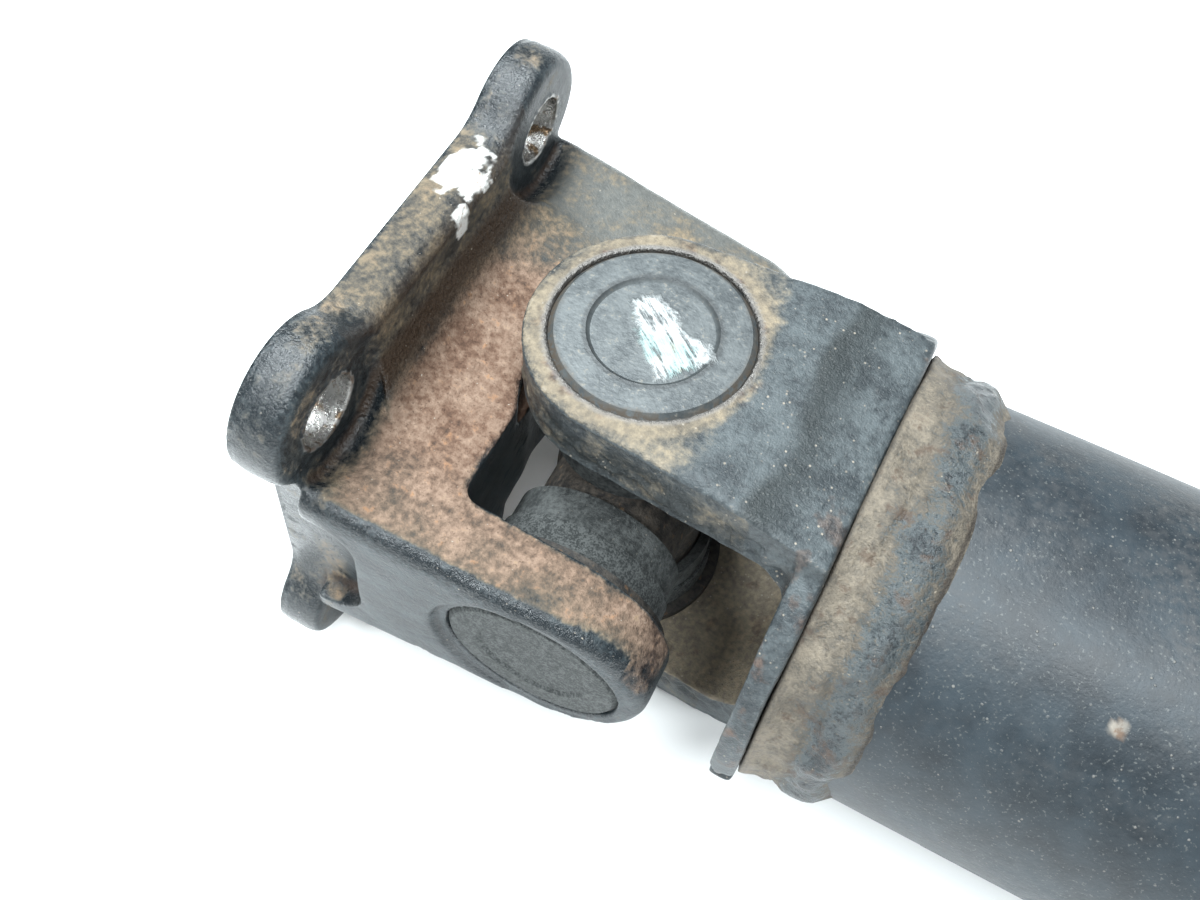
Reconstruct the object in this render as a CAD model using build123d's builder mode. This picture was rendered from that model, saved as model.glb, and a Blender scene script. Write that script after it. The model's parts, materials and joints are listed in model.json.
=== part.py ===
from build123d import *
import os
from math import atan2, cos, radians, sin

os.makedirs("parts", exist_ok=True)

# ---------------------------------------------------------------- layout along the shaft (mm)
FACE_TO_CENTRE = 45.5  # flange mating face to the centre of its joint
CENTRE_TO_CENTRE = 345.0  # joint A centre to joint B centre, slip joint at its working length
JOINT_B_X = -FACE_TO_CENTRE
JOINT_A_X = JOINT_B_X - CENTRE_TO_CENTRE
SWING_A = 1.9  # joint A stands bent at rest: turn about the tube yoke's trunnions (degrees)
TILT_A = 7.3  # and turn about the flange yoke's trunnions (degrees)

# ---------------------------------------------------------------- cross and bearings
CUP_R = 14.5
SEAT_GAP = 0.02  # allowance at each pressed or sliding seat
BORE_R = CUP_R + SEAT_GAP
CUP_OUTER = 38.0  # cross centre to the cup's outer face
CUP_MOUTH = 20.5
CUP_WALL_R = 11.03
CUP_FLOOR = 34.6
CUP_CHAMFER = 0.8
DISH_R = 9.3
DISH_DEPTH = 0.5
DISH_SLOPE = 0.6
TRUNNION_R = 8.5
TRUNNION_END = 33.5
TRUNNION_CHAMFER = 0.6
SHOULDER_R = 12.0
SHOULDER_END = 16.2
CORE_R = 13.6
GREASE_HOLE_R = 1.6
CENTRE_HOLE_R = 3.2
CENTRE_HOLE_DEPTH = 2.6
NEEDLE_COUNT = 24
NEEDLE_R = 1.24
NEEDLE_PITCH_R = 9.765
NEEDLE_START = 21.3
NEEDLE_LENGTH = 11.7
WASHER_R = 10.6
WASHER_HOLE_R = 2.2
WASHER_START = 33.55
WASHER_THICK = 1.0
SEAL_LIP_R = 8.56
SEAL_SKIRT_R = 12.35
SEAL_OUTER_R = 14.0
SEAL_INNER_END = 15.0
SEAL_LIP_START = 17.2
CLIP_GROOVE_R = 13.6
CLIP_GROOVE_START = 25.4
CLIP_GROOVE_END = 27.0
CLIP_R = 16.4
CLIP_INNER_R = 13.65
CLIP_START = 25.45
CLIP_THICK = 1.5
CLIP_MOUTH_DEG = 130.0

# ---------------------------------------------------------------- forked ends
EAR_INNER = 27.0  # cross centre to the inner face of an ear
EAR_TIP_R = 18.6
EAR_ROOT_HALF = 21.0
EAR_STEP_START = 17.0  # the ear's outer face leaves its flat boss here
EAR_STEP_END = 23.0
EAR_STEP_Z = 37.2
EAR_ROOT_Z = 34.6
FORK_FRONT = 31.0  # cross centre to the front of the fork's base
FORK_REAR = 35.4
FORK_CORNER_R = 7.0
EAR_EDGE_R = 1.6
DISC_R = 38.4
DISC_EDGE = 0.6
THROAT_R = 12.0  # forging recess in the middle of the tube yoke's base
THROAT_DEPTH = 3.0

# ---------------------------------------------------------------- tube, weld necks and stub
TUBE_R = 33.0
TUBE_WALL = 2.5
TUBE_INNER_R = TUBE_R - TUBE_WALL
TUBE_START = 45.0
TUBE_END = 204.0
SPIGOT_R = TUBE_INNER_R - SEAT_GAP
SPIGOT_END = 57.0
SPIGOT_BORE_R = 24.0
SPIGOT_CHAMFER = 1.0
WELD_START = 35.8
WELD_END = 50.5
WELD_R = 35.9
WELD_FLAT_START = 37.0
WELD_FLAT_END = 45.0
WELD_TOE_R = 33.6
WELD_HEAD_R = 35.3
STUB_SPIGOT_START = 194.0
STUB_SHOULDER_END = 215.0
STUB_CONE_END = 224.0
STUB_BORE_R = 24.0
STUB_BORE_END = 206.0
REAR_WELD_START = 199.0
REAR_WELD_PEAK_START = 202.5
REAR_WELD_PEAK_END = 206.5
REAR_WELD_END = 210.0
REAR_WELD_R = 34.6
SPLINE_START = 226.0
SPLINE_END = 292.0
SPLINE_MAJOR_R = 16.0
SPLINE_MINOR_R = 14.0
SPLINE_TOOTH = 3.0
SPLINE_COUNT = 16
SPLINE_GAP = 0.05
SPLINE_LEAD = 1.2
WEIGHT_LENGTH = 24.0
WEIGHT_THICK = 3.0
WEIGHT_SPAN_DEG = 46.0
WEIGHT_FRONT_X = 66.0
WEIGHT_FRONT_DEG = 245.0
WEIGHT_REAR_X = 168.0
WEIGHT_REAR_DEG = 20.0

# ---------------------------------------------------------------- slip yoke (measured from joint B)
SLEEVE_R = 22.5
SLEEVE_END = 102.0
SLEEVE_SHOULDER_R = 27.0
SLEEVE_SHOULDER_END = 44.0
SLEEVE_TAPER_END = 52.0
PLUG_START = 32.6
PLUG_THICK = 2.0
PLUG_R = 19.0
PLUG_SEAT_R = PLUG_R + SEAT_GAP
PLUG_SEAT_END = 34.6
CAP_SEAT_START = 92.0
CAP_SEAT_R = 21.0
CAP_WALL = 1.4
CAP_END = 107.0
CAP_HOLE_R = 16.8
SEAL_BED_R = 20.0
SLIP_SEAL_START = 100.0
SLIP_SEAL_R = SEAL_BED_R - SEAT_GAP
SLIP_SEAL_LIP_R = SPLINE_MAJOR_R + SPLINE_GAP
NIPPLE_X = 72.0
NIPPLE_STEM_R = 3.0
NIPPLE_HEX = 3.9
NIPPLE_HEX_HEIGHT = 3.6
NIPPLE_NECK_R = 2.0
NIPPLE_HEAD_R = 3.2
NIPPLE_HEIGHT = 11.0
NIPPLE_PASSAGE_R = 1.0
NIPPLE_SPOT_R = 6.0
NIPPLE_SPOT_Z = 21.8

# ---------------------------------------------------------------- flange yokes
BOLT_SPACING = 60.0
BOLT_HOLE_R = 5.5
BOLT_CHAMFER = 0.5
LOBE_R = 12.3
WAIST_Y = 36.2
WAIST_Z = 37.0
WAIST_FILLET = 9.0
FLANGE_THICK = 8.6
FLANGE_BACK = -FACE_TO_CENTRE + FLANGE_THICK
FLANGE_FACE_EDGE = 1.4
FLANGE_BACK_EDGE = 3.0
SPOT_R = 11.6
SPOT_DEPTH = 0.6
SPOT_REACH = 8.0
SPOT_TAPER_DEG = 22.0
PILOT_R = 25.0
PILOT_DEPTH = 2.5
ARM_INNER = 27.0
ARM_TIP_R = 18.8
ARM_OUTER_TIP = 38.4
ARM_OUTER_ROOT = 40.4
ARM_ROOT_HALF = 21.8
GUSSET_R = 9.5
GUSSET_FOOT = 21.4
GUSSET_HALF_WIDTH = 24.0
ARM_EDGE_R = 3.6
SLOT_BOTTOM = -18.2
SLOT_CORNER_R = 1.6
RELIEF_R = 21.2
SADDLE_R = 18.8
SADDLE_HALF = 13.5
SEAT_FACE_R = 16.4
SEAT_FACE_Y = 38.05
POCKET_END = -29.5
POCKET_HALF = 15.0
POCKET_CORNER_R = 6.0
POCKET_FLOOR = 36.0
OVERRUN = 12.0


# ---------------------------------------------------------------- placing
def spot(frame, x, y, z):
    """World position of a point given in a joint's own frame."""
    return frame.from_local_coords((x, y, z))


def across(frame, x):
    """Plane across the shaft: its own x is the frame's Y, its own y the frame's Z."""
    return Plane(origin=spot(frame, x, 0, 0), x_dir=frame.y_dir, z_dir=frame.x_dir)


def level(frame, z):
    """Plane square to the frame's Z."""
    return Plane(origin=spot(frame, 0, 0, z), x_dir=frame.x_dir, z_dir=frame.z_dir)


def upright(frame, y):
    """Plane square to the frame's Y: its own x is the frame's X, its own y the frame's Z."""
    return Plane(origin=spot(frame, 0, y, 0), x_dir=frame.x_dir, z_dir=-frame.y_dir)


def trunnion(frame, direction):
    """Frame of one trunnion: its Z points out along the trunnion."""
    side = frame.x_dir if abs(direction.dot(frame.x_dir)) < 0.5 else frame.z_dir
    return Plane(origin=frame.origin, x_dir=side, z_dir=direction)


shaft_a = Plane(origin=(JOINT_A_X, 0, 0), x_dir=(1, 0, 0), z_dir=(0, 0, 1))
shaft_b = Plane(origin=(JOINT_B_X, 0, 0), x_dir=(-1, 0, 0), z_dir=(0, 0, 1))
swing_a = radians(SWING_A)
tilt_a = radians(TILT_A)
cross_frame_a = Plane(origin=(JOINT_A_X, 0, 0), x_dir=(cos(swing_a), sin(swing_a), 0), z_dir=(0, 0, 1))
flange_frame_a = Plane(
    origin=(JOINT_A_X, 0, 0),
    x_dir=(cos(tilt_a) * cos(swing_a), cos(tilt_a) * sin(swing_a), -sin(tilt_a)),
    z_dir=(sin(tilt_a) * cos(swing_a), sin(tilt_a) * sin(swing_a), cos(tilt_a)),
)


# ---------------------------------------------------------------- bearing pieces
def turned(frame, outline):
    """Body of revolution about a trunnion; the outline lists (radius, distance out)."""
    with BuildPart() as body:
        with BuildSketch(Plane(origin=frame.origin, x_dir=frame.x_dir, z_dir=-frame.y_dir)):
            with BuildLine():
                Polyline(*outline, close=True)
            make_face()
        revolve(axis=Axis(frame.origin, frame.z_dir))
    return body.part


def bearing_cup(frame):
    """Drawn steel cup with a dished end and a clip groove outside."""
    return turned(frame, [
        (0, CUP_OUTER - DISH_DEPTH),
        (DISH_R - DISH_SLOPE, CUP_OUTER - DISH_DEPTH),
        (DISH_R, CUP_OUTER),
        (CUP_R - CUP_CHAMFER, CUP_OUTER),
        (CUP_R, CUP_OUTER - CUP_CHAMFER),
        (CUP_R, CLIP_GROOVE_END),
        (CLIP_GROOVE_R, CLIP_GROOVE_END),
        (CLIP_GROOVE_R, CLIP_GROOVE_START),
        (CUP_R, CLIP_GROOVE_START),
        (CUP_R, CUP_MOUTH),
        (CUP_WALL_R, CUP_MOUTH),
        (CUP_WALL_R, CUP_FLOOR),
        (0, CUP_FLOOR),
    ])


def trunnion_seal(frame):
    """Rubber ring in the cup's mouth with a lip on the trunnion and a skirt over the shoulder."""
    return turned(frame, [
        (SEAL_LIP_R, SEAL_LIP_START),
        (SEAL_SKIRT_R, SEAL_LIP_START),
        (SEAL_SKIRT_R, SEAL_INNER_END),
        (SEAL_OUTER_R, SEAL_INNER_END),
        (SEAL_OUTER_R, CUP_MOUTH),
        (SEAL_LIP_R, CUP_MOUTH),
    ])


def thrust_washer(frame):
    """Plastic washer between the trunnion's end and the cup's floor."""
    return turned(frame, [
        (WASHER_HOLE_R, WASHER_START),
        (WASHER_R, WASHER_START),
        (WASHER_R, WASHER_START + WASHER_THICK),
        (WASHER_HOLE_R, WASHER_START + WASHER_THICK),
    ])


def needle_set(frame):
    """Full complement of loose rollers round one trunnion."""
    with BuildPart() as needles:
        with BuildSketch(level(frame, NEEDLE_START)):
            with PolarLocations(NEEDLE_PITCH_R, NEEDLE_COUNT):
                Circle(NEEDLE_R)
        extrude(amount=NEEDLE_LENGTH)
    return needles.part


def cup_clip(frame):
    """Open spring clip in the cup's groove, against the ear's inner face."""
    half = radians(CLIP_MOUTH_DEG / 2)
    reach = 2 * CLIP_R / cos(half)
    with BuildPart() as clip:
        with BuildSketch(level(frame, CLIP_START)):
            Circle(CLIP_R)
            Circle(CLIP_INNER_R, mode=Mode.SUBTRACT)
            with BuildLine():
                Polyline(
                    (0, 0),
                    (-reach * cos(half), reach * sin(half)),
                    (-reach * cos(half), -reach * sin(half)),
                    close=True,
                )
            make_face(mode=Mode.SUBTRACT)
        extrude(amount=CLIP_THICK)
    return clip.part


def cross(frame):
    """Four-armed cross with drilled grease ways."""
    ways = [frame.z_dir, frame.y_dir]
    with BuildPart() as spider:
        with Locations(frame.origin):
            Sphere(CORE_R)
        for way in ways:
            for sign in (1, -1):
                arm = trunnion(frame, way * sign)
                with BuildSketch(arm):
                    Circle(SHOULDER_R)
                extrude(amount=SHOULDER_END)
                with BuildSketch(arm):
                    Circle(TRUNNION_R)
                extrude(amount=TRUNNION_END)
        tips = [edge for edge in spider.edges().filter_by(GeomType.CIRCLE)
                if abs((edge.arc_center - frame.origin).length - TRUNNION_END) < SEAT_GAP]
        chamfer(tips, TRUNNION_CHAMFER)
        for way in ways:
            with BuildSketch(trunnion(frame, way)):
                Circle(GREASE_HOLE_R)
            extrude(amount=CUP_OUTER, both=True, mode=Mode.SUBTRACT)
            for sign in (1, -1):
                arm = trunnion(frame, way * sign)
                with BuildSketch(Plane(origin=arm.origin, x_dir=arm.x_dir, z_dir=-arm.y_dir)):
                    with BuildLine():
                        Polyline(
                            (0, TRUNNION_END),
                            (CENTRE_HOLE_R, TRUNNION_END),
                            (0, TRUNNION_END - CENTRE_HOLE_DEPTH),
                            close=True,
                        )
                    make_face()
                revolve(axis=Axis(arm.origin, arm.z_dir), mode=Mode.SUBTRACT)
    return spider.part


# ---------------------------------------------------------------- forks on the shaft side
def fork_side():
    """Side outline of the two ears and their base, open between the ears."""
    with BuildSketch() as outline:
        with BuildLine():
            Polyline(
                (-EAR_TIP_R - OVERRUN, CUP_OUTER),
                (EAR_STEP_START, CUP_OUTER),
                (EAR_STEP_END, EAR_STEP_Z),
                (FORK_REAR, EAR_ROOT_Z),
                (FORK_REAR, -EAR_ROOT_Z),
                (EAR_STEP_END, -EAR_STEP_Z),
                (EAR_STEP_START, -CUP_OUTER),
                (-EAR_TIP_R - OVERRUN, -CUP_OUTER),
                close=True,
            )
        make_face()
        with BuildLine():
            Polyline(
                (-EAR_TIP_R - OVERRUN, EAR_INNER),
                (FORK_FRONT, EAR_INNER),
                (FORK_FRONT, -EAR_INNER),
                (-EAR_TIP_R - OVERRUN, -EAR_INNER),
                close=True,
            )
        make_face(mode=Mode.SUBTRACT)
    return outline.sketch


def fork_plan():
    """Plan outline of an ear: round tip, sides widening to the root."""
    lean = atan2(EAR_ROOT_HALF - EAR_TIP_R, FORK_REAR)
    touch_x = -EAR_TIP_R * sin(lean)
    touch_y = EAR_TIP_R * cos(lean)
    with BuildSketch() as outline:
        with BuildLine():
            ThreePointArc((touch_x, touch_y), (-EAR_TIP_R, 0), (touch_x, -touch_y))
            Polyline(
                (touch_x, -touch_y),
                (FORK_REAR, -EAR_ROOT_HALF),
                (FORK_REAR, EAR_ROOT_HALF),
                (touch_x, touch_y),
            )
        make_face()
    return outline.sketch


def fork(frame):
    """Pair of ears with cup bores, as far as the rear of their base."""
    with BuildPart() as ears:
        with BuildSketch(upright(frame, 0)):
            add(fork_side())
        extrude(amount=EAR_ROOT_HALF + OVERRUN, both=True)
        corners = [edge for edge in ears.edges().filter_by(GeomType.LINE)
                   if abs(abs(frame.to_local_coords(edge.center()).Z) - EAR_INNER) < SEAT_GAP
                   and abs(frame.to_local_coords(edge.center()).X - FORK_FRONT) < SEAT_GAP]
        fillet(corners, FORK_CORNER_R)
        with BuildSketch(level(frame, 0)):
            add(fork_plan())
        extrude(amount=CUP_OUTER + OVERRUN, both=True, mode=Mode.INTERSECT)
        rims = [edge for edge in ears.edges()
                if abs(abs(frame.to_local_coords(edge.center()).Z) - CUP_OUTER) < EAR_EDGE_R
                and frame.to_local_coords(edge.center()).X < EAR_STEP_START - 1]
        fillet(rims, EAR_EDGE_R)
        with BuildSketch(level(frame, 0)):
            Circle(BORE_R)
        extrude(amount=CUP_OUTER + OVERRUN, both=True, mode=Mode.SUBTRACT)
    return ears.part


def weld_yoke(frame):
    """Fork on a thin disc, with a neck and a spigot that goes into the tube."""
    ears = fork(frame)
    with BuildPart() as yoke:
        add(ears)
        with BuildSketch(across(frame, FORK_FRONT)):
            Circle(DISC_R)
            Rectangle(2 * DISC_R, 2 * EAR_ROOT_Z, mode=Mode.INTERSECT)
        extrude(amount=FORK_REAR - FORK_FRONT)
        with BuildSketch(across(frame, FORK_REAR)):
            Circle(SPIGOT_R)
        extrude(amount=SPIGOT_END - FORK_REAR)
        with BuildSketch(across(frame, FORK_REAR)):
            Circle(SPIGOT_BORE_R)
        extrude(amount=SPIGOT_END - FORK_REAR, mode=Mode.SUBTRACT)
        with BuildSketch(across(frame, FORK_FRONT)):
            Circle(THROAT_R)
        extrude(amount=THROAT_DEPTH, mode=Mode.SUBTRACT)
    return yoke.part


# ---------------------------------------------------------------- tube assembly pieces
def along(frame, outline):
    """Body of revolution about the shaft; the outline lists (distance along, radius)."""
    with BuildPart() as body:
        with BuildSketch(upright(frame, 0)):
            with BuildLine():
                Polyline(*outline, close=True)
            make_face()
        revolve(axis=Axis(frame.origin, frame.x_dir))
    return body.part


def pipe(frame):
    """Plain shaft tube."""
    return along(frame, [
        (TUBE_START, TUBE_INNER_R),
        (TUBE_START, TUBE_R),
        (TUBE_END, TUBE_R),
        (TUBE_END, TUBE_INNER_R),
    ])


def front_weld(frame):
    """Fat fillet weld from the yoke's disc over the tube's end."""
    return along(frame, [
        (WELD_START, SPIGOT_R),
        (WELD_START, WELD_HEAD_R),
        (WELD_FLAT_START, WELD_R),
        (WELD_FLAT_END, WELD_R),
        (WELD_END - 1, WELD_TOE_R),
        (WELD_END, TUBE_R),
        (TUBE_START, TUBE_R),
        (TUBE_START, SPIGOT_R),
    ])


def rear_weld(frame):
    """Weld between the tube and the splined stub."""
    return along(frame, [
        (REAR_WELD_START, TUBE_R),
        (REAR_WELD_PEAK_START, REAR_WELD_R),
        (REAR_WELD_PEAK_END, REAR_WELD_R),
        (REAR_WELD_END, TUBE_R),
    ])


def spline_outline(tip_r, root_r, tooth):
    """Straight-sided splines as seen along the shaft."""
    with BuildSketch() as outline:
        Circle(root_r)
        with PolarLocations((tip_r + root_r - SPLINE_LEAD) / 2, SPLINE_COUNT):
            Rectangle(tip_r - root_r + SPLINE_LEAD, tooth)
        Circle(tip_r, mode=Mode.INTERSECT)
    return outline.sketch


def stub(frame):
    """Weld spigot, cone and splined shaft in one forging."""
    blank = along(frame, [
        (STUB_SPIGOT_START, STUB_BORE_R),
        (STUB_SPIGOT_START, SPIGOT_R),
        (TUBE_END, SPIGOT_R),
        (TUBE_END, TUBE_R),
        (STUB_SHOULDER_END, TUBE_R),
        (STUB_CONE_END, SPLINE_MAJOR_R),
        (SPLINE_START, SPLINE_MAJOR_R),
        (SPLINE_START, 0),
        (STUB_BORE_END, 0),
        (STUB_BORE_END, STUB_BORE_R),
    ])
    with BuildPart() as body:
        add(blank)
        with BuildSketch(across(frame, SPLINE_START)):
            add(spline_outline(SPLINE_MAJOR_R, SPLINE_MINOR_R, SPLINE_TOOTH))
        extrude(amount=SPLINE_END - SPLINE_START)
    return body.part


def balance_weight(frame, x, angle):
    """Small curved plate on the tube's outside."""
    half = radians(WEIGHT_SPAN_DEG / 2)
    mid = radians(angle)
    reach = 2 * TUBE_R
    with BuildPart() as weight:
        with BuildSketch(across(frame, x)):
            Circle(TUBE_R + WEIGHT_THICK)
            Circle(TUBE_R, mode=Mode.SUBTRACT)
            with BuildLine():
                Polyline(
                    (0, 0),
                    (reach * cos(mid - half), reach * sin(mid - half)),
                    (reach * cos(mid + half), reach * sin(mid + half)),
                    close=True,
                )
            make_face(mode=Mode.INTERSECT)
        extrude(amount=WEIGHT_LENGTH)
    return weight.part


# ---------------------------------------------------------------- slip yoke pieces
def nipple_seat(frame):
    """Plane on the sleeve's axis, square to the grease nipple."""
    return Plane(origin=spot(frame, NIPPLE_X, 0, 0), x_dir=frame.x_dir, z_dir=frame.z_dir)


def slip_fork(frame):
    """Fork on a long sleeve with splines cut inside."""
    ears = fork(frame)
    sleeve = along(frame, [
        (FORK_FRONT, 0),
        (FORK_FRONT, SLEEVE_SHOULDER_R),
        (SLEEVE_SHOULDER_END, SLEEVE_SHOULDER_R),
        (SLEEVE_TAPER_END, SLEEVE_R),
        (CAP_SEAT_START, SLEEVE_R),
        (CAP_SEAT_START, CAP_SEAT_R),
        (SLEEVE_END, CAP_SEAT_R),
        (SLEEVE_END, 0),
    ])
    grooves = spline_outline(
        SPLINE_MAJOR_R + SPLINE_GAP, SPLINE_MINOR_R + SPLINE_GAP, SPLINE_TOOTH + 2 * SPLINE_GAP
    )
    with BuildPart() as yoke:
        add(ears)
        add(sleeve)
        with BuildSketch(across(frame, FORK_FRONT)):
            add(grooves)
        extrude(amount=SLEEVE_END - FORK_FRONT, mode=Mode.SUBTRACT)
        with BuildSketch(across(frame, FORK_FRONT)):
            Circle(PLUG_SEAT_R)
        extrude(amount=PLUG_SEAT_END - FORK_FRONT, mode=Mode.SUBTRACT)
        with BuildSketch(across(frame, SLIP_SEAL_START)):
            Circle(SEAL_BED_R)
        extrude(amount=SLEEVE_END - SLIP_SEAL_START, mode=Mode.SUBTRACT)
        with BuildSketch(nipple_seat(frame)):
            Circle(NIPPLE_STEM_R + SEAT_GAP)
        extrude(amount=SLEEVE_R + OVERRUN, mode=Mode.SUBTRACT)
        with BuildSketch(nipple_seat(frame).offset(NIPPLE_SPOT_Z)):
            Circle(NIPPLE_SPOT_R)
        extrude(amount=OVERRUN, mode=Mode.SUBTRACT)
    return yoke.part


def dust_cap(frame):
    """Pressed cap round the sleeve's mouth that holds the seal."""
    return along(frame, [
        (CAP_SEAT_START, CAP_SEAT_R),
        (CAP_SEAT_START, CAP_SEAT_R + CAP_WALL),
        (CAP_END, CAP_SEAT_R + CAP_WALL),
        (CAP_END, CAP_HOLE_R),
        (CAP_END - CAP_WALL, CAP_HOLE_R),
        (CAP_END - CAP_WALL, CAP_SEAT_R),
    ])


def slip_seal(frame):
    """Felt ring in the sleeve's mouth that wipes the tops of the splines."""
    return along(frame, [
        (SLIP_SEAL_START, SLIP_SEAL_LIP_R),
        (SLIP_SEAL_START, SLIP_SEAL_R),
        (CAP_END - CAP_WALL, SLIP_SEAL_R),
        (CAP_END - CAP_WALL, SLIP_SEAL_LIP_R),
    ])


def end_plug(frame):
    """Pressed disc that shuts the sleeve behind the joint."""
    return along(frame, [
        (PLUG_START, 0),
        (PLUG_START, PLUG_R),
        (PLUG_START + PLUG_THICK, PLUG_R),
        (PLUG_START + PLUG_THICK, 0),
    ])


def grease_nipple(frame):
    """Nipple with a hexagon, a neck, a round head and a drilled way."""
    base = SPLINE_MAJOR_R + SPLINE_LEAD
    seat = nipple_seat(frame)
    with BuildPart() as nipple:
        with BuildSketch(seat.offset(base)):
            Circle(NIPPLE_STEM_R)
        extrude(amount=NIPPLE_SPOT_Z - base)
        with BuildSketch(seat.offset(NIPPLE_SPOT_Z)):
            RegularPolygon(NIPPLE_HEX, 6)
        extrude(amount=NIPPLE_HEX_HEIGHT)
        with BuildSketch(seat.offset(NIPPLE_SPOT_Z + NIPPLE_HEX_HEIGHT)):
            Circle(NIPPLE_NECK_R)
        extrude(amount=NIPPLE_HEIGHT - NIPPLE_HEX_HEIGHT)
        with Locations(seat.offset(NIPPLE_SPOT_Z + NIPPLE_HEIGHT - NIPPLE_HEAD_R)):
            Sphere(NIPPLE_HEAD_R)
        with BuildSketch(seat.offset(base)):
            Circle(NIPPLE_PASSAGE_R)
        extrude(amount=NIPPLE_HEIGHT + OVERRUN, mode=Mode.SUBTRACT)
    return nipple.part


# ---------------------------------------------------------------- flange yoke
def flange_plate(frame):
    """Four-lobed plate with rounded edges, before drilling."""
    half = BOLT_SPACING / 2
    with BuildPart() as plate:
        with BuildSketch(across(frame, -FACE_TO_CENTRE)) as outline:
            Rectangle(2 * WAIST_Y, 2 * WAIST_Z)
            with GridLocations(BOLT_SPACING, BOLT_SPACING, 2, 2):
                Circle(LOBE_R)
            hollows = [vertex for vertex in outline.vertices()
                       if abs(vertex.Y) < half - 1 or abs(vertex.X) < half - 1]
            fillet(hollows, WAIST_FILLET)
        extrude(amount=FLANGE_THICK)
        front = [edge for edge in plate.edges()
                 if abs(frame.to_local_coords(edge.center()).X + FACE_TO_CENTRE) < SEAT_GAP]
        fillet(front, FLANGE_FACE_EDGE)
        back = [edge for edge in plate.edges()
                if abs(frame.to_local_coords(edge.center()).X - FLANGE_BACK) < SEAT_GAP]
        fillet(back, FLANGE_BACK_EDGE)
    return plate.part


def arm_side():
    """Side outline of the arms and body: round tip, sides widening to the flange."""
    lean = atan2(ARM_ROOT_HALF - ARM_TIP_R, -FLANGE_BACK)
    touch_x = ARM_TIP_R * sin(lean)
    touch_z = ARM_TIP_R * cos(lean)
    with BuildSketch() as outline:
        with BuildLine():
            ThreePointArc((touch_x, touch_z), (ARM_TIP_R, 0), (touch_x, -touch_z))
            Polyline(
                (touch_x, -touch_z),
                (FLANGE_BACK - 1, -ARM_ROOT_HALF),
                (FLANGE_BACK - 1, ARM_ROOT_HALF),
                (touch_x, touch_z),
            )
        make_face()
    return outline.sketch


def gusset_side():
    """Side outline of the hollow fillets that rise from the body to the flange."""
    foot = FLANGE_BACK + GUSSET_R
    with BuildSketch() as outline:
        for sign in (1, -1):
            with BuildLine():
                RadiusArc(
                    (foot, sign * GUSSET_FOOT),
                    (FLANGE_BACK, sign * (GUSSET_FOOT + GUSSET_R)),
                    sign * GUSSET_R,
                )
                Polyline(
                    (FLANGE_BACK, sign * (GUSSET_FOOT + GUSSET_R)),
                    (FLANGE_BACK - 1, sign * (GUSSET_FOOT + GUSSET_R)),
                    (FLANGE_BACK - 1, sign * (GUSSET_FOOT - GUSSET_R / 2)),
                    (foot, sign * (GUSSET_FOOT - GUSSET_R / 2)),
                    (foot, sign * GUSSET_FOOT),
                )
            make_face()
    return outline.sketch


def arm_plan():
    """Plan outline of the body and its two tapering arms."""
    reach = ARM_TIP_R + OVERRUN
    drop = (ARM_OUTER_ROOT - ARM_OUTER_TIP) / (ARM_TIP_R - FLANGE_BACK)
    end_y = ARM_OUTER_TIP - drop * OVERRUN
    with BuildSketch() as outline:
        with BuildLine():
            Polyline(
                (FLANGE_BACK - 1, -ARM_OUTER_ROOT),
                (FLANGE_BACK, -ARM_OUTER_ROOT),
                (reach, -end_y),
                (reach, end_y),
                (FLANGE_BACK, ARM_OUTER_ROOT),
                (FLANGE_BACK - 1, ARM_OUTER_ROOT),
                close=True,
            )
        make_face()
    return outline.sketch


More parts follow.
